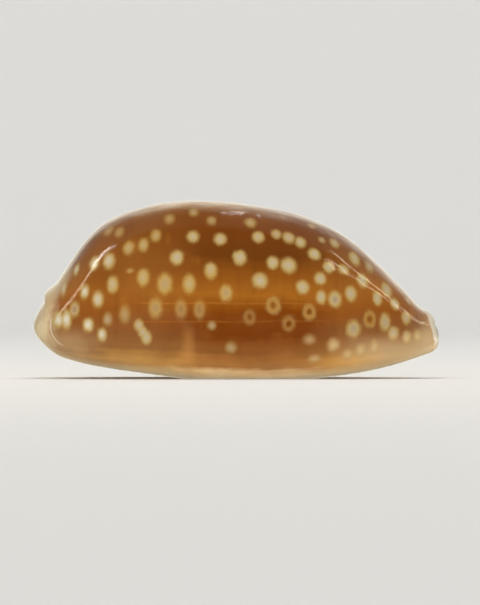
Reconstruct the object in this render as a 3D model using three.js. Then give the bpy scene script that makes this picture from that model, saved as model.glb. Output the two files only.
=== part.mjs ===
// A measled cowrie: one sea shell, grown as a single piece. The last turn of the shell wraps right
// round the earlier ones, so it is an egg-shaped shell with a long toothed slit, the aperture, under it.
//
// Frame: millimetres, +Z up, origin under the middle of the shell on the plane it rests on.
// +X is the anterior (narrow) end, -X the posterior (blunt) end, which hides the spire.
// -Y is the side of the outer lip, called labral here, and +Y the side of the inner, columellar lip.
//
// Every cross-section is one C-shaped loop: outside from lip to lip over the back, round the columellar
// lip and up its wall, back round the hollow inside, and down the labral wall to the start. The loops
// are joined along the shell, and at each end outside and inside meet in the rim of a canal.
import * as THREE from "three";
import { mergeVertices } from "three/addons/utils/BufferGeometryUtils.js";

// ---- Driving dimensions ----
const LENGTH = 80;
const HALF_LENGTH = LENGTH / 2;

// Cross-sections at equal steps of s along the shell, where x = -HALF_LENGTH * cos(PI * s):
// half-width, lowest point, height of the widest point, and ridge.
const SECTIONS = [
  { width: 7.6, keel: 7.0, margin: 11.0, ridge: 15.6 },
  { width: 10.0, keel: 5.9, margin: 10.8, ridge: 16.4 },
  { width: 13.9, keel: 4.1, margin: 10.8, ridge: 19.9 },
  { width: 17.4, keel: 2.35, margin: 11.3, ridge: 28.6 },
  { width: 19.5, keel: 1.0, margin: 11.6, ridge: 33.1 },
  { width: 20.6, keel: -0.3, margin: 11.6, ridge: 34.8 },
  { width: 20.5, keel: -0.95, margin: 11.3, ridge: 34.4 },
  { width: 19.1, keel: -0.7, margin: 11.0, ridge: 32.7 },
  { width: 16.3, keel: 0.15, margin: 10.4, ridge: 28.8 },
  { width: 12.4, keel: 1.55, margin: 9.6, ridge: 22.1 },
  { width: 8.8, keel: 3.4, margin: 9.0, ridge: 15.8 },
  { width: 6.6, keel: 4.8, margin: 8.8, ridge: 13.3 },
  { width: 6.0, keel: 5.3, margin: 8.7, ridge: 12.9 },
];
const BACK_FULLNESS = 0.025; // how far a section swells past an ellipse at its corners
const BASE_FULLNESS = 0.11;

// The aperture: where its middle runs, how wide it is, and how the base dips towards it
const SLIT_MIDDLE = -1.5;
const SLIT_BEND = 2.9; // how far the posterior end swings towards the columella
const SLIT_RETURN = 0.7; // and the anterior end
const STRAIGHT_HALF = 12; // it is straight this far either side of the middle
const SLIT_WIDTH = 2.6;
const SLIT_FLARE = { extra: 0.9, from: 0, to: 24 }; // it widens towards the anterior end
const CANAL_FLARE = 1.2; // extra width where the slit runs out through a canal
const CANAL_LENGTH = 8;
const VALLEY_DEPTH = 1.8;
const VALLEY_SPREAD = 3.6;
const VALLEY_FADE = { none: 4, full: 18 }; // half-widths of the shell between which the valley fades
const LIP_RADIUS = 1.3;
const LIP_SHARE = 0.28; // or this share of the half-width, where that is less
const LIP_DEPTH = 1.8; // height of the wall from the lip's rounding up to the hollow
const CANAL_LIP_DEPTH = 0.6; // and up to a canal

// Walls and hollow
const BACK_WALL = 1.2;
const SIDE_WALL = 1.8;
const HOLLOW_FROM = -36; // the hollow narrows to the canals beyond these two places
const HOLLOW_TO = 37;
const HOLLOW_TAPER = 13;
const HOLLOW_FULLNESS = 0.25; // as BASE_FULLNESS, for the floor of the hollow
const CANAL_HEIGHT = 3.2; // from the canal's floor to its roof
const CANAL_OVERHANG = 1.02; // the canal's width over the slit's
// The earlier whorls bulge into the hollow from the columellar lip, over this share of its outline
const WHORL = { reach: 6, rise: 5, share: 0.425, lean: 0.75 };

// Teeth: ridges across both lips, one every two steps of the mesh
const TOOTH_PITCH = 2.4;
const LABRAL_TEETH = 28;
const COLUMELLAR_TEETH = 23;
const FIRST_TOOTH_X = -33.4;
const TOOTH_HEIGHT = 0.4;
const TOOTH_SPREAD = 2.5; // how far the ridges run out over the base
const TOOTH_LIMIT = 0.15; // and the share of the outside that they stay within

// Ends: how long the rounding of each rim is, how blunt, and how far its roof, its columellar half
// and the ends of its lips sit back from the tip, fading over its reach
const POSTERIOR_RIM = { length: 3.0, power: 2.2, roof: 1.75, arch: 4, columella: 0.8, lips: 2.2, reach: 6 };
const ANTERIOR_RIM = { length: 1.2, power: 2.6, roof: 1.6, arch: 2, columella: 0.2, lips: 0.3, reach: 7 };

const RIM_LIP_SPREAD = 0.1; // share of the outline over which the lips' set-back fades

// Mesh
const END_STEPS = 6;
const SIDE_POINTS = 27; // points from lip to lip, outside and inside
const LIP_CROWDING = 0.3; // how much closer than on the back they lie by the lips
const LIP_POINTS = 3;
const WALL_POINTS = 2;

// ---- Small maths ----
const { lerp, smoothstep } = THREE.MathUtils;
const mix = (a, b, share) => [lerp(a[0], b[0], share), lerp(a[1], b[1], share)];
const bell = (value, spread) => Math.exp(-((value / spread) ** 2));
const SMALL_TURN = 0.02; // step of angle for taking a slope

// Bends of the natural cubic spline through equally spaced values, by elimination.
function splineBends(values) {
  const bends = values.map(() => 0);
  const scale = values.map(() => 0);
  for (let i = 1; i < values.length - 1; i++) {
    const pull = 6 * (values[i + 1] - 2 * values[i] + values[i - 1]);
    scale[i] = 1 / (4 - scale[i - 1]);
    bends[i] = (pull - bends[i - 1]) * scale[i];
  }
  for (let i = values.length - 2; i > 0; i--) bends[i] -= scale[i] * bends[i + 1];
  return bends;
}

// A function of s from 0 to 1 that runs smoothly through one measure of the SECTIONS.
function along(measure) {
  const values = SECTIONS.map((section) => section[measure]);
  const bends = splineBends(values);
  return (s) => {
    const place = s * (values.length - 1);
    const i = Math.min(Math.floor(place), values.length - 2);
    const b = place - i;
    const a = 1 - b;
    const bend = ((a ** 3 - a) * bends[i] + (b ** 3 - b) * bends[i + 1]) / 6;
    return a * values[i] + b * values[i + 1] + bend;
  };
}

const widthAt = along("width");
const keelAt = along("keel");
const marginAt = along("margin");
const ridgeAt = along("ridge");

// ---- Cross-section ----
// An egg-shaped oval in the plane (y, z). Its angle starts straight down and turns towards -Y.
function oval(shape, angle) {
  const down = Math.cos(angle);
  const swell = 1 + (down > 0 ? shape.fullness : BACK_FULLNESS) * Math.sin(2 * angle) ** 2;
  const height = down > 0 ? shape.middle - shape.bottom : shape.top - shape.middle;
  return [shape.centre - shape.width * swell * Math.sin(angle), shape.middle - height * swell * down];
}

// The angle, near straight down, at which the oval stands at a given y.
function angleAt(shape, y) {
  const side = (shape.centre - y) / shape.width;
  let angle = 0;
  for (let i = 0; i < 8; i++) {
    const swell = 1 + shape.fullness * Math.sin(2 * angle) ** 2;
    angle = Math.asin(THREE.MathUtils.clamp(side / swell, -1, 1));
  }
  return angle;
}

// The measures of the cross-section at x.
function sectionAt(x) {
  const s = Math.acos(THREE.MathUtils.clamp(-x / HALF_LENGTH, -1, 1)) / Math.PI;
  const width = widthAt(s);
  const canal = smoothstep(Math.abs(x), HALF_LENGTH - CANAL_LENGTH, HALF_LENGTH);
  const flare = SLIT_FLARE.extra * smoothstep(x, SLIT_FLARE.from, SLIT_FLARE.to);
  const bend = SLIT_BEND * (1 - smoothstep(x, -HALF_LENGTH, -STRAIGHT_HALF));
  const back = SLIT_RETURN * smoothstep(x, STRAIGHT_HALF, HALF_LENGTH);
  const opening = smoothstep(x, HOLLOW_FROM, HOLLOW_FROM + HOLLOW_TAPER);
  const closing = smoothstep(x, HOLLOW_TO - HOLLOW_TAPER, HOLLOW_TO);
  return {
    outside: {
      centre: 0,
      width,
      bottom: keelAt(s),
      middle: marginAt(s),
      top: ridgeAt(s),
      fullness: BASE_FULLNESS,
    },
    slitMiddle: SLIT_MIDDLE + bend + back,
    slitHalf: (SLIT_WIDTH + flare + CANAL_FLARE * canal) / 2,
    valley: VALLEY_DEPTH * smoothstep(width, VALLEY_FADE.none, VALLEY_FADE.full),
    lipRadius: Math.min(LIP_RADIUS, LIP_SHARE * width),
    open: opening * (1 - closing),
  };
}

// A point of the outside: the oval, raised where the base dips towards the slit.
function outsidePoint(section, angle) {
  const [y, z] = oval(section.outside, angle);
  const base = Math.max(0, Math.cos(angle)) ** 2;
  return [y, z + section.valley * base * bell(y - section.slitMiddle, VALLEY_SPREAD)];
}

// One lip, in points from the outside up to the sill of the hollow: a curve that leaves the base
// along its slope and turns up into the wall of the slit. side is -1 labral, +1 columellar.
function lip(section, side) {
  const edge = section.slitMiddle + side * section.slitHalf;
  const start = angleAt(section.outside, edge + side * section.lipRadius);
  const from = outsidePoint(section, start);
  const before = outsidePoint(section, start - side * SMALL_TURN);
  const slope = ((from[1] - before[1]) / (from[0] - before[0])) * (edge - from[0]);
  const corner = [edge, from[1] + slope];
  const top = [edge, corner[1] + section.lipRadius];
  const sill = [edge, top[1] + lerp(CANAL_LIP_DEPTH, LIP_DEPTH, section.open)];
  const curve = (t) => mix(mix(from, corner, t), mix(corner, top, t), t);
  return { start, curve, sill };
}

// The hollow inside: an oval within the walls, narrowing to a canal at the ends, with the bulge of
// the earlier whorls rising from the columellar lip. share runs from the labral sill to the other.
function insidePoint(section, lips, share) {
  const { outside, open, slitMiddle, slitHalf } = section;
  const floor = Math.min(lips[0].sill[1], lips[1].sill[1]);
  const hollow = {
    centre: lerp(slitMiddle, outside.centre, open),
    width: lerp(slitHalf * CANAL_OVERHANG, outside.width - SIDE_WALL, open),
    bottom: floor,
    middle: lerp(floor + CANAL_HEIGHT / 2, outside.middle, open),
    top: lerp(floor + CANAL_HEIGHT, outside.top - BACK_WALL, open),
    fullness: lerp(BASE_FULLNESS, HOLLOW_FULLNESS, open),
  };
  const start = angleAt(hollow, lips[0].sill[0]);
  const end = 2 * Math.PI + angleAt(hollow, lips[1].sill[0]);
  const [y, z] = oval(hollow, lerp(start, end, share));
  const fromLip = Math.min((1 - share) / WHORL.share, 1);
  const bulge = open * Math.sin(Math.PI * fromLip ** WHORL.lean);
  return [y - WHORL.reach * bulge, z + WHORL.rise * bulge];
}

// The whole loop at x, as points [x, y, z]. tooth is 1 on the crest of a tooth and 0 between teeth.
function loopAt(x, labralTooth, columellarTooth) {
  const section = sectionAt(x);
  const lips = [lip(section, -1), lip(section, 1)];
  const teeth = [labralTooth * TOOTH_HEIGHT, columellarTooth * TOOTH_HEIGHT];
  const rim = x < 0 ? POSTERIOR_RIM : ANTERIOR_RIM;
  const past = Math.max(0, Math.abs(x) - (HALF_LENGTH - rim.length)) / rim.length;
  const thickness = Math.max(0, 1 - past ** rim.power) ** (1 / rim.power);
  const setBackShare = smoothstep(Math.abs(x), HALF_LENGTH - rim.reach, HALF_LENGTH);

  const outside = (share) => {
    const point = outsidePoint(section, lerp(lips[0].start, 2 * Math.PI + lips[1].start, share));
    const nearest = share < 0.5 ? 0 : 1;
    const away = Math.abs(point[0] - lips[nearest].curve(0)[0]);
    const reach = Math.min(share, 1 - share) < TOOTH_LIMIT ? bell(away, TOOTH_SPREAD) : 0;
    return [point[0], point[1] - teeth[nearest] * reach];
  };
  const inside = (share) => insidePoint(section, lips, share);
  const setBack = (share) =>
    rim.roof * Math.sin(Math.PI * share) ** rim.arch +
    rim.columella * smoothstep(share, 0.5, 0.75) +
    rim.lips * (bell(share, RIM_LIP_SPREAD) + bell(share - 1, RIM_LIP_SPREAD));

  // A point is drawn in towards the middle of the wall's thickness as the rim rounds off.
  const place = (share, [y, z]) => {
    const middle = mix(outside(share), inside(share), 0.5);
    const [py, pz] = mix(middle, [y, z], thickness);
    return [x - Math.sign(x) * setBack(share) * setBackShare, py, Math.max(pz, 0)];
  };
  const lipPoints = (which) => {
    const side = which === 0 ? 1 : -1; // the way from the lip into the slit
    const { curve, sill } = lips[which];
    const points = [];
    for (let i = 1; i <= LIP_POINTS; i++) {
      const t = i / LIP_POINTS;
      const [y, z] = curve(t);
      const turn = (t * Math.PI) / 2;
      const out = [side * Math.sin(turn), -Math.cos(turn)];
      points.push([y + out[0] * teeth[which], z + out[1] * teeth[which]]);
    }
    for (let i = 1; i <= WALL_POINTS; i++) {
      const t = i / (WALL_POINTS + 1);
      const [y, z] = mix(curve(1), sill, t);
      points.push([y + side * teeth[which] * (1 - t), z]);
    }
    return points.map((point) => place(which, point));
  };
  const shares = Array.from({ length: SIDE_POINTS }, (_, i) => {
    const even = i / (SIDE_POINTS - 1);
    return even - (LIP_CROWDING * Math.sin(2 * Math.PI * even)) / (2 * Math.PI);
  });
  return [
    ...shares.map((share) => place(share, outside(share))),
    ...lipPoints(1),
    ...shares.map((share) => place(1 - share, inside(1 - share))),
    ...lipPoints(0).reverse(),
  ];
}

// ---- The shell ----
// Places of the loops: even steps through the teeth, and closer ones towards the tips.
function loops() {
  const toothSteps = 2 * LABRAL_TEETH;
  const lastToothX = FIRST_TOOTH_X + LABRAL_TEETH * TOOTH_PITCH;
  const skipped = LABRAL_TEETH - COLUMELLAR_TEETH;
  const made = [];
  for (let i = 0; i < END_STEPS; i++) {
    const t = Math.cos(((i / END_STEPS) * Math.PI) / 2);
    made.push(loopAt(lerp(FIRST_TOOTH_X, -HALF_LENGTH, t), 0, 0));
  }
  for (let i = 0; i <= toothSteps; i++) {
    const columellar = i > skipped && i < toothSteps - skipped;
    made.push(loopAt(lerp(FIRST_TOOTH_X, lastToothX, i / toothSteps), i % 2, columellar ? (i + 1) % 2 : 0));
  }
  for (let i = END_STEPS - 1; i >= 0; i--) {
    const t = Math.cos(((i / END_STEPS) * Math.PI) / 2);
    made.push(loopAt(lerp(lastToothX, HALF_LENGTH, t), 0, 0));
  }
  return made;
}

// Joins neighbouring loops with triangles. The first and last loops are pinched to a line, so once
// their points are merged the triangles left without an area there are dropped.
function shellGeometry() {
  const rings = loops();
  const size = rings[0].length;
  const corners = [];
  for (let i = 0; i + 1 < rings.length; i++) {
    for (let j = 0; j < size; j++) {
      const a = i * size + j;
      const b = i * size + ((j + 1) % size);
      corners.push(a, a + size, b, b, a + size, b + size);
    }
  }
  const open = new THREE.BufferGeometry();
  open.setAttribute("position", new THREE.Float32BufferAttribute(rings.flat(2), 3));
  open.setIndex(corners);
  const merged = mergeVertices(open, 1e-3);
  const index = merged.getIndex().array;
  const kept = [];
  for (let i = 0; i < index.length; i += 3) {
    const [a, b, c] = index.subarray(i, i + 3);
    if (a !== b && b !== c && c !== a) kept.push(a, b, c);
  }
  merged.setIndex(kept);
  merged.computeVertexNormals();
  return merged;
}

const enamel = new THREE.MeshStandardMaterial({ color: 0x8a5320, roughness: 0.15, metalness: 0 });
const shell = new THREE.Mesh(shellGeometry(), enamel);
shell.name = "cowrie_shell";

const cowrie = new THREE.Group();
cowrie.add(shell);
export default cowrie;
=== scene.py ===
"""A measled cowrie in its natural finish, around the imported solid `cowrie_shell`.

Millimetres are used while the surface is worked out, and the mesh is put down in metres.
+X is the anterior (narrow) end, -Y the side of the outer, labral lip, +Z up.
"""

import math

import bpy
import numpy as np
from mathutils import Matrix, Vector


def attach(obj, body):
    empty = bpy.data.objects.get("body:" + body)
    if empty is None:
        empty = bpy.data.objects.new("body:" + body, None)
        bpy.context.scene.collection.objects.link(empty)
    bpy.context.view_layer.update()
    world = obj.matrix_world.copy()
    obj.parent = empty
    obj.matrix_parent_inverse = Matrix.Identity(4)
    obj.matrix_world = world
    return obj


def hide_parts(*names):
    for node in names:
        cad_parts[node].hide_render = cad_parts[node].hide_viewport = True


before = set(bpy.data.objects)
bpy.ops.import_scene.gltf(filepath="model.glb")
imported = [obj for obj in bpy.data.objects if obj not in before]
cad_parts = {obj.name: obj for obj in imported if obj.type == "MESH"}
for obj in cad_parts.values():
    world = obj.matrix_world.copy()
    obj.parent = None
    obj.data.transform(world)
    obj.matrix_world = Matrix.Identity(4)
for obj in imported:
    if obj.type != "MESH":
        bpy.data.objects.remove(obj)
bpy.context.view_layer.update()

MM = 0.001

# ---- Driving dimensions, in millimetres ----
LENGTH = 80.0
HALF_LENGTH = LENGTH / 2

# Cross-sections at equal steps of s along the shell, where x = -HALF_LENGTH * cos(PI * s)
HALF_WIDTHS = (7.6, 10.0, 13.9, 17.4, 19.5, 20.6, 20.5, 19.1, 16.3, 12.4, 8.8, 6.6, 6.0)
KEELS = (7.0, 5.9, 4.1, 2.35, 1.0, -0.3, -0.95, -0.7, 0.15, 1.55, 3.4, 4.8, 5.3)
MARGINS = (11.0, 10.8, 10.8, 11.3, 11.6, 11.6, 11.3, 11.0, 10.4, 9.6, 9.0, 8.8, 8.7)
RIDGES = (15.6, 16.4, 19.9, 28.6, 33.1, 34.8, 34.4, 32.7, 28.8, 22.1, 15.8, 13.3, 12.9)
BACK_FULLNESS = 0.025
BASE_FULLNESS = 0.11

# The slit under the shell and the lips beside it
SLIT_MIDDLE = -1.5
SLIT_BEND = 2.9
SLIT_RETURN = 0.7
STRAIGHT_HALF = 12.0
SLIT_WIDTH = 2.6
SLIT_FLARE = 0.9
FLARE_LENGTH = 24.0
CANAL_FLARE = 1.2
CANAL_LENGTH = 8.0
VALLEY_DEPTH = 1.8
VALLEY_SPREAD = 3.6
VALLEY_NONE, VALLEY_FULL = 4.0, 18.0
LIP_RADIUS = 1.3
LIP_SHARE = 0.28
LIP_DEPTH = 1.8
CANAL_LIP_DEPTH = 0.6

# Walls and the hollow between them
BACK_WALL = 1.2
SIDE_WALL = 1.8
HOLLOW_FROM, HOLLOW_TO = -36.0, 37.0
HOLLOW_TAPER = 13.0
HOLLOW_FULLNESS = 0.25
CANAL_HEIGHT = 3.2
CANAL_OVERHANG = 1.02
WHORL_REACH, WHORL_RISE = 6.0, 5.0
WHORL_SHARE = 0.425
WHORL_LEAN = 0.75

# Teeth across the lips
TOOTH_PITCH = 2.4
TOOTH_HEIGHT = 0.42
TOOTH_RUN = 2.5
TOOTH_SHARPNESS = 1.6
FIRST_TOOTH_X = -33.4
LABRAL_TEETH = 28
COLUMELLAR_TEETH = 23
# Near the ends the lips are the lowest part of the base, so the teeth there hardly stand out downwards
TUCK_AWAY = 0.85
TUCK_MIDDLE = -3.0
TUCK_FROM, TUCK_TO = 16.0, 25.0

# The ledge over the posterior canal: it rises to LEDGE_HEIGHT, leans out by LEDGE_LEAN of that and breaks off
LEDGE_HEIGHT = 0.75
LEDGE_LEAN = 0.6
LEDGE_START, LEDGE_FULL, LEDGE_EDGE, LEDGE_END = -34.8, -37.0, -37.2, -37.45
LEDGE_SPREAD = 0.16
LEDGE_TIP = -39.2

# The broken edge of the anterior rim
RAG_DEPTH, RAG_LENGTH = 0.14, 2.2
RAG_FROM, RAG_FULL = 37.2, 38.8

# Low swells that growth leaves in the surface, fading towards the lips and the ends
SWELL_HEIGHT = 0.035
SWELL_LENGTH = 8.0
SWELL_LIPS = 0.25, 0.6
SWELL_END = 34.0, 38.0

# Rims of the canals
POSTERIOR = dict(length=3.0, power=2.2, roof=1.75, arch=4, columella=0.8, lips=2.2, reach=6.0)
ANTERIOR = dict(length=1.2, power=2.6, roof=1.6, arch=2, columella=0.2, lips=0.3, reach=7.0)
RIM_LIP_SPREAD = 0.1
COLUMELLAR_SHARES = 0.5, 0.75

# Mesh: stations along the shell, and points round each loop
STATIONS = 336
OUTSIDE_POINTS = 222
LIP_POINTS = 8
WALL_POINTS = 5
INSIDE_POINTS = 36
END_CROWDING = 0.5  # how strongly stations crowd towards the ends
LIP_CROWDING = 0.15  # and points towards the lips
LIP_ZONE = 0.3  # share of the way round within which a tooth belongs to a lip
SLOPE_STEP = 0.02  # angle over which the slope of the base is taken
WITHIN_DEPTH = 0.3, 1  # share of a lip's depth over which it takes the colour of the inside
WELD_GAP = 0.004  # points nearer than this are merged


# ---- Small maths on whole arrays ----
def smoothstep(value, low, high):
    """Rises from 0 at low to 1 at high, level at both."""
    t = np.clip((value - low) / (high - low), 0, 1)
    return t * t * (3 - 2 * t)


def bell(value, spread):
    """A bell curve: 1 at 0 and 1/e at plus or minus spread."""
    return np.exp(-((value / spread) ** 2))


def lerp(a, b, share):
    return a + (b - a) * share


def spline(values, s):
    """Natural cubic spline through equally spaced values, read at s from 0 to 1."""
    values = np.array(values)
    count = len(values)
    matrix = np.diag(np.full(count, 4.0)) + np.diag(np.ones(count - 1), 1) + np.diag(np.ones(count - 1), -1)
    matrix[0], matrix[-1] = np.eye(count)[[0, -1]]
    pull = np.zeros(count)
    pull[1:-1] = 6 * (values[2:] - 2 * values[1:-1] + values[:-2])
    bends = np.linalg.solve(matrix, pull)
    place = np.clip(s, 0, 1) * (count - 1)
    i = np.minimum(place.astype(int), count - 2)
    b = place - i
    a = 1 - b
    bend = ((a**3 - a) * bends[i] + (b**3 - b) * bends[i + 1]) / 6
    return a * values[i] + b * values[i + 1] + bend


def waves(x, y, z, length, seed):
    """Smooth random swells, from -1 to 1, of about the given wavelength: a mean of eight plane waves."""
    draw = np.random.default_rng(seed)
    directions = draw.normal(size=(8, 3))
    directions /= np.linalg.norm(directions, axis=1, keepdims=True)
    phases = draw.uniform(0, 2 * np.pi, 8)
    pitches = 2 * np.pi / length * draw.uniform(0.7, 1.3, 8)
    total = 0
    for (dx, dy, dz), phase, pitch in zip(directions, phases, pitches):
        total = total + np.sin(pitch * (dx * x + dy * y + dz * z) + phase)
    return total / 4


# ---- The surface ----
def oval(shape, angle):
    """An egg-shaped oval: y = centre - width * swell * sin(angle), z = middle - height * swell * cos(angle),
    where swell = 1 + fullness * sin(2 angle)^2 and height differs above and below the middle."""
    centre, width, bottom, middle, top, fullness = shape
    down = np.cos(angle)
    swell = 1 + np.where(down > 0, fullness, BACK_FULLNESS) * np.sin(2 * angle) ** 2
    height = np.where(down > 0, middle - bottom, top - middle)
    return centre - width * swell * np.sin(angle), middle - height * swell * down


def angle_at(shape, y):
    """The angle, near straight down, at which the oval stands at y."""
    centre, width, fullness = shape[0], shape[1], shape[5]
    side = (centre - y) / width
    angle = np.zeros_like(side)
    for _ in range(8):
        angle = np.arcsin(np.clip(side / (1 + fullness * np.sin(2 * angle) ** 2), -1, 1))
    return angle


class Section:
    """The measures of the cross-sections at the places x, an array with one row per station."""

    def __init__(self, x):
        s = np.arccos(np.clip(-x / HALF_LENGTH, -1, 1)) / np.pi
        width = spline(HALF_WIDTHS, s)
        self.x = x
        self.outside = (0 * x, width, spline(KEELS, s), spline(MARGINS, s), spline(RIDGES, s), BASE_FULLNESS)
        bend = SLIT_BEND * (1 - smoothstep(x, -HALF_LENGTH, -STRAIGHT_HALF))
        self.slit = SLIT_MIDDLE + bend + SLIT_RETURN * smoothstep(x, STRAIGHT_HALF, HALF_LENGTH)
        canal = smoothstep(np.abs(x), HALF_LENGTH - CANAL_LENGTH, HALF_LENGTH)
        self.half = (SLIT_WIDTH + SLIT_FLARE * smoothstep(x, 0, FLARE_LENGTH) + CANAL_FLARE * canal) / 2
        self.valley = VALLEY_DEPTH * smoothstep(width, VALLEY_NONE, VALLEY_FULL)
        self.lip_radius = np.minimum(LIP_RADIUS, LIP_SHARE * width)
        opening = smoothstep(x, HOLLOW_FROM, HOLLOW_FROM + HOLLOW_TAPER)
        self.open = opening * (1 - smoothstep(x, HOLLOW_TO - HOLLOW_TAPER, HOLLOW_TO))
        self.lips = [Lip(self, -1), Lip(self, 1)]

    def outer(self, angle):
        """The outside at an angle: the oval, raised where the base dips towards the slit."""
        y, z = oval(self.outside, angle)
        base = np.maximum(0, np.cos(angle)) ** 2
        return y, z + self.valley * base * bell(y - self.slit, VALLEY_SPREAD)

    def outer_at(self, share):
        """The outside at a share of the way from the labral lip to the columellar one."""
        return self.outer(lerp(self.lips[0].start, 2 * np.pi + self.lips[1].start, share))

    def inner_at(self, share):
        """The hollow at a share of the way from the labral sill to the columellar one: an oval within the
        walls, narrowing to a canal at the ends, with the earlier whorls bulging in from the columella."""
        _, width, _, middle, top, _ = self.outside
        floor = np.minimum(self.lips[0].sill, self.lips[1].sill)
        hollow = (
            lerp(self.slit, 0, self.open),
            lerp(self.half * CANAL_OVERHANG, width - SIDE_WALL, self.open),
            floor,
            lerp(floor + CANAL_HEIGHT / 2, middle, self.open),
            lerp(floor + CANAL_HEIGHT, top - BACK_WALL, self.open),
            lerp(BASE_FULLNESS, HOLLOW_FULLNESS, self.open),
        )
        start = angle_at(hollow, self.lips[0].edge)
        end = 2 * np.pi + angle_at(hollow, self.lips[1].edge)
        y, z = oval(hollow, lerp(start, end, share))
        from_lip = np.minimum((1 - share) / WHORL_SHARE, 1)
        bulge = self.open * np.sin(np.pi * from_lip**WHORL_LEAN)
        return y - WHORL_REACH * bulge, z + WHORL_RISE * bulge


class Lip:
    """One lip: it leaves the base along its slope and turns up into the wall of the slit.
    side is -1 for the labral lip and +1 for the columellar one."""

    def __init__(self, section, side):
        self.edge = section.slit + side * section.half
        self.start = angle_at(section.outside, self.edge + side * section.lip_radius)
        self.from_y, self.from_z = section.outer(self.start)
        near_y, near_z = section.outer(self.start - side * SLOPE_STEP)
        slope = (self.from_z - near_z) / (self.from_y - near_y)
        self.corner = self.from_z + slope * (self.edge - self.from_y)
        self.top = self.corner + section.lip_radius
        self.sill = self.top + lerp(CANAL_LIP_DEPTH, LIP_DEPTH, section.open)

    def curve(self, t):
        """Quadratic curve from the base, round the corner, to the foot of the slit's wall."""
        y = lerp(lerp(self.from_y, self.edge, t), self.edge, t)
        return y, lerp(lerp(self.from_z, self.corner, t), lerp(self.corner, self.top, t), t)


def set_back(rim, share):
    """How far a rim's parts sit back from its tip: its roof, its columellar half, its lips' ends."""
    lips = bell(share, RIM_LIP_SPREAD) + bell(share - 1, RIM_LIP_SPREAD)
    roof = np.sin(np.pi * share) ** rim["arch"]
    columella = smoothstep(share, *COLUMELLAR_SHARES)
    return rim["roof"] * roof + rim["columella"] * columella + rim["lips"] * lips


def place(section, share, y, z):
    """Draws points in towards the middle of the wall as a rim rounds off, and sets them back in x."""
    x = section.x
    outer_y, outer_z = section.outer_at(share)
    inner_y, inner_z = section.inner_at(share)
    placed_x, placed_y, placed_z = x + 0 * share, y, z
    for sign, rim in ((-1, POSTERIOR), (1, ANTERIOR)):
        past = np.clip((sign * x - HALF_LENGTH + rim["length"]) / rim["length"], 0, 1)
        thickness = np.maximum(0, 1 - past ** rim["power"]) ** (1 / rim["power"])
        placed_y = lerp((outer_y + inner_y) / 2, placed_y, thickness)
        placed_z = lerp((outer_z + inner_z) / 2, placed_z, thickness)
        fade = smoothstep(sign * x, HALF_LENGTH - rim["reach"], HALF_LENGTH)
        placed_x = placed_x - sign * set_back(rim, share) * fade
    return placed_x, placed_y, placed_z


def rag(x, y, z):
    """How far the broken edge of the anterior rim stands out, uneven from place to place."""
    return RAG_DEPTH * waves(x, y, z, RAG_LENGTH, seed=5) * smoothstep(x, RAG_FROM, RAG_FULL)


def ledge(x, share):
    """Height of the ledge: a slope that rises towards the spire and breaks off, widest over the canal."""
    rise = smoothstep(-x, -LEDGE_START, -LEDGE_FULL) * (1 - smoothstep(-x, -LEDGE_EDGE, -LEDGE_END))
    return LEDGE_HEIGHT * rise * bell(share - 0.5, LEDGE_SPREAD)


def tooth_crests(x, first, count):
    """Rounded ridges across the lip, 1 on each crest: a raised cosine over count pitches from the first."""
    along = (x - first) / TOOTH_PITCH
    wave = 0.5 + 0.5 * np.cos(2 * np.pi * along)
    return wave**TOOTH_SHARPNESS * np.where((along > -0.5) & (along < count - 0.5), 1, 0)


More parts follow.
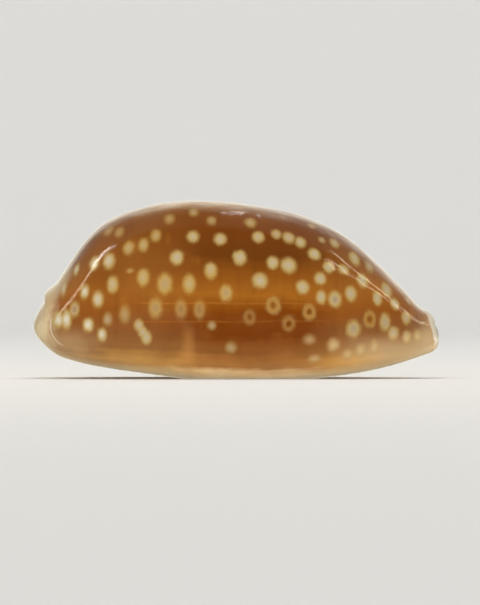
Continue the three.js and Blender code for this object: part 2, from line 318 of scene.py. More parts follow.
def shell_surface():
    """The whole skin as one grid: rows are stations along the shell, columns run from the labral lip over
    the back to the columellar lip, up its wall, round the hollow and down the labral wall."""
    t = np.linspace(0, 1, STATIONS)
    even, crowded = 2 * t - 1, -np.cos(np.pi * t)
    x = HALF_LENGTH * lerp(even, crowded, END_CROWDING)[:, None]
    section = Section(x)
    teeth = [
        tooth_crests(x, FIRST_TOOTH_X + TOOTH_PITCH / 2, LABRAL_TEETH),
        tooth_crests(x, FIRST_TOOTH_X + 3 * TOOTH_PITCH, COLUMELLAR_TEETH),
    ]
    hang = TOOTH_HEIGHT * (1 - TUCK_AWAY * smoothstep(np.abs(x - TUCK_MIDDLE), TUCK_FROM, TUCK_TO))
    columns = []

    def keep(share, y, z, around, within, tooth):
        """around is 0 to 1 from lip to lip, within is 1 inside the hollow."""
        px, py, pz = place(section, share, y, z)
        shelf = ledge(px, share) * (1 - within) * smoothstep(x, -HALF_LENGTH, LEDGE_TIP)
        px = px + rag(px, y, z) - shelf * LEDGE_LEAN
        pz = pz + shelf
        fields = (around, within, tooth)
        columns.append(np.stack([np.broadcast_to(f, py.shape) for f in (px, py, pz, *fields)], axis=-1))

    share = np.linspace(0, 1, OUTSIDE_POINTS)[None, :]
    share = share - LIP_CROWDING * np.sin(2 * np.pi * share) / (2 * np.pi)
    y, z = section.outer_at(share)
    out_y, out_z = y - section.outside[0], z - section.outside[3]
    swell = SWELL_HEIGHT * waves(x, y, z, SWELL_LENGTH, seed=3)
    swell = swell * smoothstep(np.sin(np.pi * share), *SWELL_LIPS)
    swell = swell * (1 - smoothstep(np.abs(x), *SWELL_END)) / np.hypot(out_y, out_z)
    y, z = y + swell * out_y, z + swell * out_z
    ridge = 0
    for which, side in ((0, -1), (1, 1)):
        away = side * (y - section.lips[which].from_y)
        near_lip = (share < LIP_ZONE) if which == 0 else (share > 1 - LIP_ZONE)
        ridge = ridge + np.where(near_lip, teeth[which] * bell(np.maximum(away, 0), TOOTH_RUN), 0)
    keep(share, y, z - hang * ridge, share, 0 * share, ridge)

    def lip_columns(which):
        """Down one lip, from the outside to the hollow's sill: the rounding, then the slit's wall."""
        lip, tooth = section.lips[which], teeth[which]
        into = 1 if which == 0 else -1
        curve = np.linspace(0, 1, LIP_POINTS + 1)[None, 1:]
        y, z = lip.curve(curve)
        turn = curve * np.pi / 2
        rounding = (y + into * np.sin(turn) * TOOTH_HEIGHT * tooth, z - np.cos(turn) * hang * tooth)
        wall = np.linspace(0, 1, WALL_POINTS + 2)[None, 1:-1]
        rise = (lip.edge + into * TOOTH_HEIGHT * tooth * (1 - wall), lerp(lip.top, lip.sill, wall))
        y = np.concatenate([rounding[0], rise[0]], axis=1)
        z = np.concatenate([rounding[1], rise[1]], axis=1)
        depth = np.linspace(0, 1, y.shape[1])[None, :]
        return y, z, depth, tooth * (1 - depth)

    y, z, depth, tooth = lip_columns(1)
    keep(np.ones_like(depth), y, z, np.ones_like(depth), smoothstep(depth, *WITHIN_DEPTH), tooth)
    share = np.linspace(1, 0, INSIDE_POINTS)[None, :]
    y, z = section.inner_at(share)
    keep(share, y, z, share, np.ones_like(share), 0 * share)
    y, z, depth, tooth = lip_columns(0)
    y, z, depth, tooth = y[:, ::-1], z[:, ::-1], depth[:, ::-1], tooth[:, ::-1]
    keep(np.zeros_like(depth), y, z, np.zeros_like(depth), smoothstep(depth, *WITHIN_DEPTH), tooth)
    return np.concatenate(columns, axis=1)


def grid_mesh(name, points, wrap):
    """A mesh, in metres, of a grid of points in millimetres, with quads between neighbours. wrap closes each
    row on itself."""
    rows, size = points.shape[:2]
    corner = np.arange(rows * size).reshape(rows, size)
    right = np.roll(corner, -1, axis=1) if wrap else corner[:, 1:]
    left = corner if wrap else corner[:, :-1]
    quads = np.stack([left[:-1], left[1:], right[1:], right[:-1]], axis=-1).reshape(-1, 4)
    mesh = bpy.data.meshes.new(name)
    mesh.from_pydata(points.reshape(-1, 3) * MM, [], quads)
    mesh.polygons.foreach_set("use_smooth", np.ones(len(quads), bool))
    return mesh


def put_attribute(mesh, name, values):
    layer = mesh.attributes.new(name, "FLOAT", "POINT")
    layer.data.foreach_set("value", np.asarray(values, np.float32).ravel())


# ---- Spots ----
# Spots of the labral side, by height: (x, z, across, tall, eye, clear), in millimetres as seen from that
# side. eye is how brown the middle is, and clear how little enamel veils the spot.
LABRAL_SPOTS = (
    # high on the back
    (-24.9, 28.9, 2.4, 2.0, 0, 0.35), (-22.8, 28.6, 2.2, 2.2, 0, 0.4), (-13.0, 31.2, 2.3, 2.2, 0, 0.45),
    (-8.3, 32.5, 2.0, 1.8, 0, 0.5), (-4.8, 30.8, 2.1, 2.0, 0, 0.5), (2.8, 30.5, 2.5, 2.1, 0, 0.6),
    (14.8, 29.8, 1.8, 1.2, 0, 0.4), (9.0, 31.6, 2.0, 1.4, 0, 0.1),
    # upper flank
    (-15.6, 27.9, 2.3, 2.6, 0, 0.7), (-8.4, 27.7, 2.5, 2.5, 0, 0.95), (-3.1, 27.2, 2.6, 2.5, 0, 0.95),
    (4.3, 27.6, 2.5, 2.4, 0, 0.9), (7.8, 28.2, 2.2, 2.0, 0, 0.75), (10.2, 27.5, 2.6, 2.4, 0, 0.85),
    (12.5, 26.6, 2.4, 2.3, 0, 0.85), (16.7, 27.1, 1.7, 1.3, 0, 0.5), (19.2, 26.5, 2.2, 1.8, 0, 0.7),
    (-18.0, 26.1, 2.2, 2.9, 0, 0.75), (-20.9, 25.5, 2.4, 2.9, 0, 0.7), (23.1, 23.5, 2.4, 2.6, 0, 0.85),
    (26.0, 21.9, 2.0, 2.2, 0, 0.5),
    # middle
    (-11.5, 23.6, 2.7, 3.0, 0, 1), (0.7, 23.6, 2.8, 3.0, 0, 1), (15.2, 24.3, 2.7, 2.4, 0, 1),
    (-24.7, 22.9, 2.6, 3.2, 0, 0.9), (-27.6, 22.5, 2.2, 2.9, 0, 0.8), (7.1, 22.6, 2.5, 2.7, 0, 1),
    (10.2, 22.1, 3.2, 3.1, 0, 1), (18.0, 21.7, 2.4, 2.3, 0, 1), (-31.1, 21.3, 1.5, 2.3, 0, 0.7),
    (-20.6, 21.0, 1.9, 1.2, 0, 0.45), (-4.9, 21.0, 2.6, 3.4, 0, 1), (20.9, 21.3, 2.7, 2.1, 0, 0.85),
    (-18.0, 19.7, 2.6, 3.6, 0, 1), (16.3, 19.5, 2.5, 2.6, 0, 1), (4.6, 19.1, 3.2, 3.2, 0, 1),
    (24.6, 19.2, 2.5, 2.8, 0, 1), (-23.9, 18.4, 2.4, 3.5, 0, 0.95), (-13.8, 18.5, 3.2, 4.3, 0.15, 0.95),
    (-9.1, 18.5, 2.7, 4.0, 0, 1), (12.9, 17.8, 2.8, 2.9, 0, 1), (29.4, 17.4, 2.4, 2.8, 0, 0.9),
    (-29.4, 17.0, 2.0, 3.0, 0, 0.85), (-2.0, 16.7, 2.6, 3.6, 0.25, 0.95), (22.3, 16.6, 2.5, 3.2, 0.05, 0.95),
    (16.5, 15.9, 2.2, 2.8, 0, 0.95), (27.5, 15.7, 2.1, 2.9, 0, 0.95), (-26.8, 15.5, 2.4, 3.5, 0.2, 0.85),
    (31.0, 14.6, 2.2, 2.4, 0, 0.9), (33.7, 15.2, 2.0, 1.2, 0, 0.5), (-33.6, 17.6, 1.4, 3.2, 0, 0.5),
    # the row of eyes
    (-31.4, 13.5, 2.3, 3.3, 0.5, 0.75), (-15.6, 13.8, 2.9, 4.2, 0.3, 0.75), (-10.7, 13.7, 2.6, 4.0, 0.4, 0.5),
    (-7.1, 13.5, 2.5, 3.8, 0.4, 0.48), (7.2, 14.3, 2.9, 3.4, 0.8, 0.85), (14.2, 13.0, 2.7, 3.2, 0.9, 0.7),
    (2.6, 12.0, 2.6, 3.2, 1, 0.3), (10.2, 10.8, 2.7, 3.2, 1, 0.32), (19.2, 15.5, 2.9, 3.4, 0.35, 1),
    (26.0, 11.6, 2.6, 3.4, 0.8, 0.8), (22.8, 9.7, 3.2, 3.7, 0.25, 0.85), (29.0, 11.0, 2.4, 3.8, 0.2, 0.8),
    # low, by the callus
    (-21.6, 12.7, 2.5, 3.8, 0, 0.45), (-24.9, 11.6, 2.1, 3.0, 0, 0.4), (-28.7, 10.5, 2.4, 3.0, 0, 1),
    (-26.0, 8.6, 2.1, 3.0, 0, 0.9), (-18.8, 10.4, 2.0, 2.6, 0, 0.9),
    (-18.1, 9.2, 1.8, 2.5, 0, 0.9), (-17.4, 8.1, 2.2, 3.0, 0, 0.95),
    (-4.7, 10.4, 1.9, 1.9, 0, 0.45), (33.2, 11.9, 2.2, 2.6, 0, 0.75), (30.7, 8.8, 2.6, 3.0, 0, 0.8),
    (33.3, 8.0, 2.2, 2.8, 0, 0.75), (35.5, 8.3, 2.1, 2.6, 0, 0.7), (-34.6, 11.5, 2.9, 3.6, 0, 1),
    (-33.0, 11.6, 2.4, 4.0, 0, 1), (-1.0, 6.1, 2.4, 2.6, 0, 0.42), (14.2, 7.7, 3.0, 2.4, 0, 0.34),
    (18.9, 6.6, 2.9, 3.0, 0, 0.62), (24.2, 5.5, 2.5, 3.0, 0, 0.65), (26.9, 6.1, 2.3, 3.2, 0, 0.6),
    (21.6, 4.7, 2.6, 2.4, 0, 0.55), (15.2, 3.9, 3.0, 1.9, 0, 0.5),
)
LABRAL_SHARES = 0.04, 0.5
SHARE_STEP = 0.002
LEAST_SLANT = 0.45
FAR_FROM_SPOTS = 6.0

# Spots of the other sides: where they fall, the room each needs, and the ranges of their measures
SCATTER_SEED = 11
SCATTER_TRIES = 2600
SCATTER_X, SCATTER_SHARES = (-37, 36), (0.40, 0.86)
SCATTER_GAP, SCATTER_ROOM = 3.9, (0.85, 1.25)
LABRAL_SIDE = 0.47
SPOT_WIDTHS, SPOT_STRETCH = (2.1, 3.1), (0.95, 1.35)
EYE_HEIGHTS, EYE_RANGE = (18, 10), (0, 1.3)
CALLUS_HEIGHTS, CALLUS_VEIL = (10, 5), 0.6
CLEAR_RANGE = 0.75, 1


def outside_points(x, share):
    """Points of the outside, for equal-length lists of x and share."""
    section = Section(np.asarray(x, float)[:, None])
    share = np.asarray(share, float)[:, None]
    y, z = section.outer_at(share)
    return np.concatenate([section.x, y, z], axis=1)


def hand_spots():
    """Centre, half-sizes, eye and clear of each labral spot, put on the surface at its height. Its height is
    as seen from the side, so a spot on a slope is made taller along the surface."""
    table = np.array(LABRAL_SPOTS)
    shares = np.linspace(*LABRAL_SHARES, 400)
    section = Section(table[:, :1])
    y, z = section.outer_at(shares[None, :])
    found = np.array([np.interp(height, row, shares) for height, row in zip(table[:, 1], z)])
    centres = outside_points(table[:, 0], found)
    ahead = outside_points(table[:, 0], found + SHARE_STEP)
    slant = (ahead - centres)[:, 2] / np.linalg.norm(ahead - centres, axis=1)
    tall = table[:, 3] / np.clip(slant, LEAST_SLANT, 1)
    return centres, np.stack([table[:, 2], tall], axis=1) / 2, table[:, 4], table[:, 5]


def scattered_spots(taken):
    """Spots for the rest of the outside, drawn at random and kept where they have room."""
    draw = np.random.default_rng(SCATTER_SEED)
    x = draw.uniform(*SCATTER_X, SCATTER_TRIES)
    share = draw.uniform(*SCATTER_SHARES, SCATTER_TRIES)
    centres = outside_points(x, share)
    room = draw.uniform(*SCATTER_ROOM, SCATTER_TRIES) * SCATTER_GAP
    kept = list(taken)
    chosen = []
    for i in range(SCATTER_TRIES):
        labral = centres[i, 1] < 0 and share[i] < LABRAL_SIDE
        if labral or np.min(np.linalg.norm(np.array(kept) - centres[i], axis=1)) < room[i]:
            continue
        kept.append(centres[i])
        chosen.append(i)
    height, count = centres[chosen, 2], len(chosen)
    across = draw.uniform(*SPOT_WIDTHS, count)
    tall = across * draw.uniform(*SPOT_STRETCH, count)
    eye = smoothstep(height, *EYE_HEIGHTS) * draw.uniform(*EYE_RANGE, count).clip(0, 1)
    clear = draw.uniform(*CLEAR_RANGE, count) * lerp(1, CALLUS_VEIL, smoothstep(height, *CALLUS_HEIGHTS))
    return centres[chosen], np.stack([across, tall], axis=1) / 2, eye, clear


def spot_fields(points):
    """For each point: the squared distance from the nearest spot's middle, 1 on the spot's edge, that spot's
    eye and how clear it is. Distances are scaled by the spot's half-sizes along the shell and round it."""
    sets = [hand_spots()]
    sets.append(scattered_spots(sets[0][0]))
    centres, sizes, eyes, clears = (np.concatenate(parts) for parts in zip(*sets))
    far = np.full(len(points), FAR_FROM_SPOTS)
    nearest = np.zeros(len(points), int)
    for i, (centre, (along, round_)) in enumerate(zip(centres, sizes)):
        away = points - centre
        here = (away[:, 0] / along) ** 2 + (away[:, 1] ** 2 + away[:, 2] ** 2) / round_**2
        closer = here < far
        far[closer] = here[closer]
        nearest[closer] = i
    return far, eyes[nearest], clears[nearest]


# ---- Shader maths ----
class Wire:
    """A node's output socket that can be used in sums: each operator adds a Math node."""

    def __init__(self, paint, socket):
        self.paint, self.socket = paint, socket

    def _math(self, operation, *values):
        return self.paint.add("ShaderNodeMath", {"operation": operation}, dict(enumerate(values)))

    def __add__(self, other):
        return self._math("ADD", self, other)

    def __sub__(self, other):
        return self._math("SUBTRACT", self, other)

    def __rsub__(self, other):
        return self._math("SUBTRACT", other, self)

    def __mul__(self, other):
        return self._math("MULTIPLY", self, other)

    def __truediv__(self, other):
        return self._math("DIVIDE", self, other)

    def __pow__(self, other):
        return self._math("POWER", self, other)

    __radd__ = __add__
    __rmul__ = __mul__


class Paint:
    """The nodes of one material, or of the studio's world."""

    def __init__(self, owner):
        owner.use_nodes = True
        self.nodes = owner.node_tree.nodes
        self.links = owner.node_tree.links
        self.nodes.clear()

    def add(self, kind, settings=None, inputs=None, output=0):
        """Makes a node, sets its settings and then its sockets, and gives back one of its outputs."""
        node = self.nodes.new(kind)
        for name, value in (settings or {}).items():
            if name == "stops":
                self._set_stops(node.color_ramp, value)
            else:
                setattr(node, name, value)
        for key, value in (inputs or {}).items():
            socket = self._socket(node.inputs, key)
            if isinstance(value, Wire):
                self.links.new(value.socket, socket)
            else:
                socket.default_value = value
        return Wire(self, self._socket(node.outputs, output)) if len(node.outputs) else None

    @staticmethod
    def _socket(sockets, key):
        if isinstance(key, int):
            return sockets[key]
        return next(s for s in sockets if key in (s.identifier, s.name))

    @staticmethod
    def _set_stops(ramp, stops):
        while len(ramp.elements) < len(stops):
            ramp.elements.new(0.5)
        for element, (position, colour) in zip(ramp.elements, stops):
            element.position = position
            element.color = colour

    def attribute(self, name):
        return self.add("ShaderNodeAttribute", {"attribute_name": name}, output="Fac")

    def step(self, value, low, high):
        """0 below low, 1 above high, smooth between. low may be above high."""
        inputs = {"Value": value, "From Min": low, "From Max": high, "To Min": 0.0, "To Max": 1.0}
        return self.add("ShaderNodeMapRange", {"interpolation_type": "SMOOTHSTEP"}, inputs)

    def mix(self, factor, below, above):
        """Colour above laid over colour below by factor."""
        inputs = {"Factor_Float": factor, "A_Color": below, "B_Color": above}
        return self.add("ShaderNodeMix", {"data_type": "RGBA"}, inputs, "Result_Color")

    def ridge(self, value, middle, reach):
        """1 where value is middle, smooth to 0 at reach either side."""
        return self.step(value, middle - reach, middle) * self.step(value, middle + reach, middle)

    def between(self, value, rise, fall):
        """0, then 1 between the two edges, then 0 again: rise and fall are each from none to full."""
        return self.step(value, *rise) * self.step(value, *fall)

    def patch(self, x, z, place):
        """1 in the middle of a soft patch, smooth to 0 at its reach along x and z."""
        x_middle, x_reach, z_middle, z_reach = place
        return self.ridge(x, x_middle, x_reach) * self.ridge(z, z_middle, z_reach)

    def ramp(self, height, colours):
        """Colours by height: (millimetres, screen colour) pairs, smoothly blended."""
        top = colours[-1][0]
        stops = [(at / top, srgb(*colour)) for at, colour in colours]
        return self.add("ShaderNodeValToRGB", {"stops": stops}, {"Fac": height / top})

    def noise(self, vector, scale, detail=2.0, roughness=0.5):
        """Noise centred on 0, from about -1 to 1."""
        inputs = {"Vector": vector, "Scale": scale, "Detail": detail, "Roughness": roughness}
        return self.add("ShaderNodeTexNoise", {}, inputs, "Fac") * 2.4 - 1.2

    def split(self, vector):
        """The three numbers of a vector."""
        first = self.add("ShaderNodeSeparateXYZ", {}, {"Vector": vector})
        return [Wire(self, socket) for socket in first.socket.node.outputs]

    def combine(self, x, y, z):
        return self.add("ShaderNodeCombineXYZ", {}, {"X": x, "Y": y, "Z": z})


def srgb(red, green, blue):
    """A colour given in 0 to 255 as a screen shows it, in the linear values that sockets take."""
    values = np.array([red, green, blue]) / 255
    linear = np.where(values <= 0.04045, values / 12.92, ((values + 0.055) / 1.055) ** 2.4)
    return (*linear.tolist(), 1.0)


# ---- Finish ----
# Enamel by height, in millimetres, over the middle of the shell and towards its ends. The palest stops at the
# very bottom are partly the base's own cream and partly painted light standing in for light from below.
MIDDLE_COLOURS = (
    (0.0, (252, 230, 188)), (1.1, (246, 210, 152)), (2.6, (172, 116, 56)), (5.2, (126, 76, 31)),
    (7.0, (118, 66, 24)), (8.2, (105, 52, 11)), (13.0, (112, 54, 5)), (16.5, (144, 87, 24)),
    (19.5, (128, 73, 19)), (24.0, (95, 50, 11)), (29.5, (104, 53, 9)), (34.8, (118, 64, 12)),
)
END_COLOURS = (
    (0.0, (252, 230, 188)), (1.2, (248, 214, 142)), (2.8, (204, 152, 76)), (6.0, (134, 90, 46)),
    (9.5, (124, 77, 39)), (13.0, (128, 73, 25)), (17.0, (139, 84, 29)), (22.0, (125, 75, 28)),
    (28.0, (114, 64, 16)), (34.8, (112, 62, 14)),
)
# Where the middle's colours give way to the ends', in x
BACK_BLEND, FRONT_BLEND = (-3, -19), (11, 23)

# Colours laid over the ground, then those of the ends, the spots and the base
LINE = srgb(176, 112, 40)
BAND = srgb(190, 134, 70)
# Dark brown, for the darker rings round the shell and for painted shade
DARK_BROWN_AND_SHADE = srgb(88, 44, 8)
# Honey colour for the painted sheen near the crest
HONEY_SHEEN = srgb(182, 138, 66)
SEAM = srgb(186, 150, 98)
CREAM, BACK_CREAM, FRONT_CREAM = srgb(206, 180, 136), srgb(219, 201, 162), srgb(184, 158, 119)
SMUDGE = srgb(104, 66, 42)
FLANGE = srgb(178, 152, 111)
# Chalk of the anterior rim, paler low down; the paler one also paints the highlight round the posterior canal
CHALK, LOW_CHALK_AND_HIGHLIGHT = srgb(186, 176, 154), srgb(228, 219, 198)
HALO, WARM_HALO, LOW_HALO = srgb(168, 142, 82), srgb(166, 131, 64), srgb(174, 140, 90)
SPOT, WARM_SPOT, WHITE_SPOT = srgb(166, 152, 127), srgb(168, 146, 103), srgb(194, 186, 164)
LOW_SPOT = srgb(196, 172, 124)
RING = srgb(151, 105, 45)
EYE = srgb(108, 54, 8)
TOOTH = srgb(112, 60, 28)
GUM = srgb(214, 188, 148)
INSIDE = srgb(172, 154, 156)

# Two amber growth lines on the labral flank, by height and strength, and a pale streak low on it
GROWTH_LINES = ((14.7, 0.46), (11.2, 0.3))
GROWTH_LINE_REACH = 0.28
GROWTH_LINE_ENDS = (-24, -16), (21, 14)
STREAK_X, STREAK_REACH = -9.4, 1.8

# Soft patches: middle and reach in x, then middle and reach in z
# Painted shade: a darker patch on the labral flank, below the posterior highlight
PAINTED_SHADE_PATCH = (-25.5, 6, 19.5, 5.5)
SMUDGE_PATCH = (34.8, 3, 10.9, 2.6)

# The line where the mantle's halves met, and a painted sheen of honey colour beside it, by share of the way
# round
SEAM_AT, SEAM_REACH = 0.512, 0.03
SEAM_ENDS = (-34, -24), (33, 24)
SHEEN_AT, SHEEN_REACH = 0.49, 0.1
SHEEN_X, SHEEN_LENGTH = -9, 20

# The ends: cream from none to full in x, the ledge's pale top, and a painted highlight in a thin arc round
# the posterior canal
BACK_CREAM_X, FRONT_CREAM_X = (-32.4, -37.0), (32.0, 38.0)
FLANGE_X, FLANGE_Z = -33, 21.8
FLANGE_REACH, FLANGE_END = (-2.8, -1.3), (-31, -34)
CANAL_X, CANAL_Z = -32.0, 10.3
ARC_HIGHLIGHT_RADIUS, ARC_HIGHLIGHT_REACH = 4.15, 0.2
ARC_HIGHLIGHT_TOP, ARC_HIGHLIGHT_END = (12.4, 11), (-33.2, -34.6)

# The chalky edge of the anterior rim: narrowest at CHALK_Z, wider above and below it
CHALK_Z, CHALK_BEND, CHALK_SLOPE = 6.9, 0.2, 0.28
CHALK_X = (38.8, 39.2)
LOW_CHALK_Z = (8.8, 7.2)

# Spots: where each layer fades in and where it is full, in the spot's own radii
HALO_EDGE, BODY_EDGE, RING_EDGE, EYE_EDGE = (1.38, 0.55), (0.9, 0.05), (1.05, 0.6), (0.62, 0.2)

# Base: gum beside the slit by share of the way round, brown teeth, and the mauve inside, faint at the rims
LABRAL_GUM, COLUMELLAR_GUM = (0.10, 0.03), (0.90, 0.97)
TOOTH_EDGE, LAST_TOOTH_X = (0.12, 0.6), (32.5, 30.5)
MAUVE_ENDS = (-39.4, -37), (39.2, 37.5)


class Fields:
    """What the finish depends on at each point: its place in millimetres, the mesh's attributes, and noises
    that make edges wander. cloud is broad and grain fine, streaks run along the shell, bands are shorter."""

    def __init__(self, p):
        metres = {"Vector": p.add("ShaderNodeTexCoord", output="Object"), "Scale": 1 / MM}
        self.position = p.add("ShaderNodeVectorMath", {"operation": "SCALE"}, metres)
        self.x, self.y, self.z = p.split(self.position)
        self.around = p.attribute("around")
        self.within = p.attribute("within")
        self.tooth = p.attribute("tooth")
        self.far = p.attribute("spot") ** 0.5
        self.eye = p.attribute("eye")
        self.clear = p.attribute("clear")
        self.labral = p.step(self.y, 2.0, -2.0)
        self.cloud = p.noise(self.position, 0.16, 3.0)
        self.grain = p.noise(self.position, 0.9, 2.0)
        self.streaks = p.noise(p.combine(self.x * 0.035, self.around * 60, 3.0), 1.0, 3.0)
        self.bands = p.noise(p.combine(self.x * 0.28, self.around * 3, 7.0), 1.0, 3.0)
        self.wander = self.x + self.cloud * 3

        # The chalky edge is rougher than the enamel as well as paler
        from_corner = ((self.z - CHALK_Z) * (self.z - CHALK_Z) + CHALK_BEND) ** 0.5
        self.chalk = p.step(self.x + self.grain * 0.25 + from_corner * CHALK_SLOPE, *CHALK_X)


def ground_colour(p, at):
    """The amber under the spots: ramps by height, the middle's giving way to the ends', then faint rings
    round the shell and growth streaks along it."""
    x, y, z, cloud = at.x, at.y, at.z, at.cloud
    height = z + cloud * 1.2 + at.streaks * 0.9 + at.bands * 0.9 * p.step(z, 3, 8)
    ground = p.mix(
        p.step(at.wander, *BACK_BLEND) + p.step(at.wander, *FRONT_BLEND),
        p.ramp(height, MIDDLE_COLOURS),
        p.ramp(height, END_COLOURS),
    )
    rings = p.noise(p.combine(x * 0.5, y * 0.07, z * 0.07), 1.0, 3.0)
    ground = p.mix(p.step(rings, 0.0, 0.9) * p.step(z, 5, 9) * 0.4, ground, DARK_BROWN_AND_SHADE)
    ground = p.mix(p.step(rings + cloud, -0.3, -1.2) * p.step(z, 6, 12) * 0.35, ground, LINE)
    return p.mix(p.step(at.streaks, 0.3, 0.85) * 0.26, ground, LINE)


def growth_marks_and_painted_light(p, at, ground):
    """Marks that growth left in the ground: lines and a streak on the labral flank, the milky callus low down
    towards the ends, and the mantle line along the back. With them, painted light: a patch of painted shade
    on the labral flank and a painted sheen of honey beside the mantle line."""
    x, z, cloud = at.x, at.z, at.cloud
    level = z + at.streaks * 0.16 + cloud * 0.3
    stretch = p.between(x, *GROWTH_LINE_ENDS) * at.labral
    for line_height, strength in GROWTH_LINES:
        near = p.ridge(level, line_height, GROWTH_LINE_REACH)
        ground = p.mix(near * stretch * p.step(at.bands, -0.6, 0.6) * strength, ground, LINE)
    streak = p.ridge(x + cloud * 0.5, STREAK_X, STREAK_REACH) * p.step(z, 11.5, 8)
    ground = p.mix(streak * at.labral * 0.26, ground, BAND)
    ground = p.mix(p.step(x, 17, 30) * p.step(z, 9.5, 5) * 0.55, ground, CREAM)
    ground = p.mix(p.step(at.wander, -24, -33) * p.step(z, 11, 7) * 0.28, ground, CREAM)
    # Painted shade: a soft darker patch on the labral flank
    ground = p.mix(p.patch(x + cloud, z, PAINTED_SHADE_PATCH) * at.labral * 0.3, ground, DARK_BROWN_AND_SHADE)
    # Painted sheen: paler honey beside the mantle line, standing in for the pale glow along the enamel's top
    # edge
    painted_sheen = p.ridge(at.around + cloud * 0.02 + at.grain * 0.008, SHEEN_AT, SHEEN_REACH)
    painted_sheen = painted_sheen * p.ridge(x + cloud * 6, SHEEN_X, SHEEN_LENGTH)
    ground = p.mix(painted_sheen * 0.72, ground, HONEY_SHEEN)
    crest = p.ridge(at.around + cloud * 0.004, SEAM_AT, SEAM_REACH) * p.between(x, *SEAM_ENDS)
    return p.mix(crest * 0.75, ground, SEAM)


def end_marks_and_highlight(p, at, surface):
    """Cream round the canals, a smudge near the anterior one, and by the posterior one creases, the ledge's
    pale top and a painted highlight in a thin pale arc."""
    x, y, z, cloud, grain = at.x, at.y, at.z, at.cloud, at.grain
    posterior = x + cloud * 2.4 + y * y * 0.012 + p.step(z, 13, 7) * 0.2 + grain * 0.5
    posterior = p.step(posterior, *BACK_CREAM_X)
    anterior = p.step(x + cloud * 1.2, *FRONT_CREAM_X)
    surface = p.mix(posterior * 0.85, surface, BACK_CREAM)
    surface = p.mix(anterior * (0.3 + p.step(z, 12.5, 7.5) * 0.45), surface, FRONT_CREAM)
    surface = p.mix(p.patch(x + cloud, z + grain * 0.6, SMUDGE_PATCH) * 0.5, surface, SMUDGE)
    out = (x - FLANGE_X) * -0.8 + (z - FLANGE_Z) * 0.6
    flange = p.step(out + cloud * 0.5 + grain * 0.35, *FLANGE_REACH) * p.step(x, *FLANGE_END)
    surface = p.mix(flange * 0.8, surface, FLANGE)
    from_canal = ((x - CANAL_X) * (x - CANAL_X) + (z - CANAL_Z) * (z - CANAL_Z)) ** 0.5
    creases = p.noise(p.combine(from_canal * 0.9, (z - x) * 0.1, 2.0), 1.0, 3.0)
    surface = p.mix(posterior * p.step(creases, 0.0, 0.8) * 0.3, surface, BAND)
    # Painted highlight: a thin pale arc round the posterior canal, low on the labral side
    painted_highlight = p.ridge(from_canal, ARC_HIGHLIGHT_RADIUS, ARC_HIGHLIGHT_REACH) * p.step(z, *ARC_HIGHLIGHT_TOP) * p.step(x, *ARC_HIGHLIGHT_END)
    return p.mix(painted_highlight * at.labral * 0.45, surface, LOW_CHALK_AND_HIGHLIGHT)


def spot_marks(p, at, surface):
    """Spots with a soft halo and a pale body, warmer over the posterior back and sunk under the callus low
    towards the front. Some are rings with a brown eye."""
    x, z = at.x, at.z
    fray = p.noise(p.combine(x * 2.4, at.y * 0.8, z * 0.8), 1.0, 2.0)
    edge = at.far + at.cloud * 0.03 + at.grain * 0.13 + fray * 0.1
    warm = p.between(x, (-26, -22), (3, -3)) * p.between(z, (11, 13), (23, 20))
    warm = warm + p.between(x, (-26, -23), (-11, -14)) * p.step(z, 23.5, 25) * 0.8
    warm = warm + p.step(z, 25, 31) * 0.7
    sunk = p.step(z, 9.5, 7.5) * p.step(x, 8, 12)
    ringed = p.step(at.eye, 0.4, 0.75)
    halo = p.mix(sunk, p.mix(warm, HALO, WARM_HALO), LOW_HALO)
    body = p.mix(warm, p.mix(p.step(x, -23, -27), SPOT, WHITE_SPOT), WARM_SPOT)
    body = p.mix(sunk, body, LOW_SPOT)
    surface = p.mix(p.step(edge, *HALO_EDGE) ** 1.3 * at.clear, surface, halo)
    surface = p.mix(p.step(edge, *BODY_EDGE) * (1 - ringed) * at.clear, surface, body)
    surface = p.mix(p.step(edge, *RING_EDGE) * ringed * at.clear, surface, RING)
    return p.mix(p.step(edge, *EYE_EDGE) * at.eye * 0.95, surface, EYE)


def base_marks(p, at, surface):
    """The chalky anterior rim, pale gum beside the slit, brown teeth and the mauve inside."""
    surface = p.mix(at.chalk, surface, p.mix(p.step(at.z, *LOW_CHALK_Z), CHALK, LOW_CHALK_AND_HIGHLIGHT))
    near_slit = p.step(at.around, *LABRAL_GUM) + p.step(at.around, *COLUMELLAR_GUM)
    surface = p.mix(near_slit * 0.8, surface, GUM)
    surface = p.mix(p.step(at.tooth, *TOOTH_EDGE) * p.step(at.x, *LAST_TOOTH_X), surface, TOOTH)
    return p.mix(at.within * (p.between(at.x, *MAUVE_ENDS) * 0.85 + 0.15), surface, INSIDE)


def enamel_paint():
    """The shell's glossy enamel: amber ground with soft bands and growth lines, pale spots with warm edges,
    some with a brown eye, a milky callus low on the sides, cream ends, and brown teeth."""
    material = bpy.data.materials.new("enamel")
    p = Paint(material)
    at = Fields(p)
    surface = ground_colour(p, at)
    for layer in (growth_marks_and_painted_light, end_marks_and_highlight, spot_marks, base_marks):
        surface = layer(p, at, surface)

    roughness = 0.1 + p.step(at.grain, 0.2, 1.0) * 0.04 + at.chalk * 0.5 + at.within * 0.15
    ripple = p.noise(p.combine(at.x * 0.06, at.around * 90, 1.0), 1.0, 2.0)
    dents = p.noise(at.position, 0.11, 1.0) + p.noise(at.position, 0.3, 1.0) * 0.3
    relief = ripple * 0.012 + dents * 0.4 + at.chalk * at.grain * 0.1
    normal = p.add("ShaderNodeBump", {}, {"Strength": 0.5, "Distance": MM, "Height": relief})
    sockets = {
        "Base Color": surface,
        "Roughness": roughness,
        "Normal": normal,
        "IOR": 1.5,
        "Coat Weight": 0.3,
        "Coat Roughness": 0.05,
    }
    p.add("ShaderNodeOutputMaterial", {}, {"Surface": p.add("ShaderNodeBsdfPrincipled", {}, sockets)})
    return material


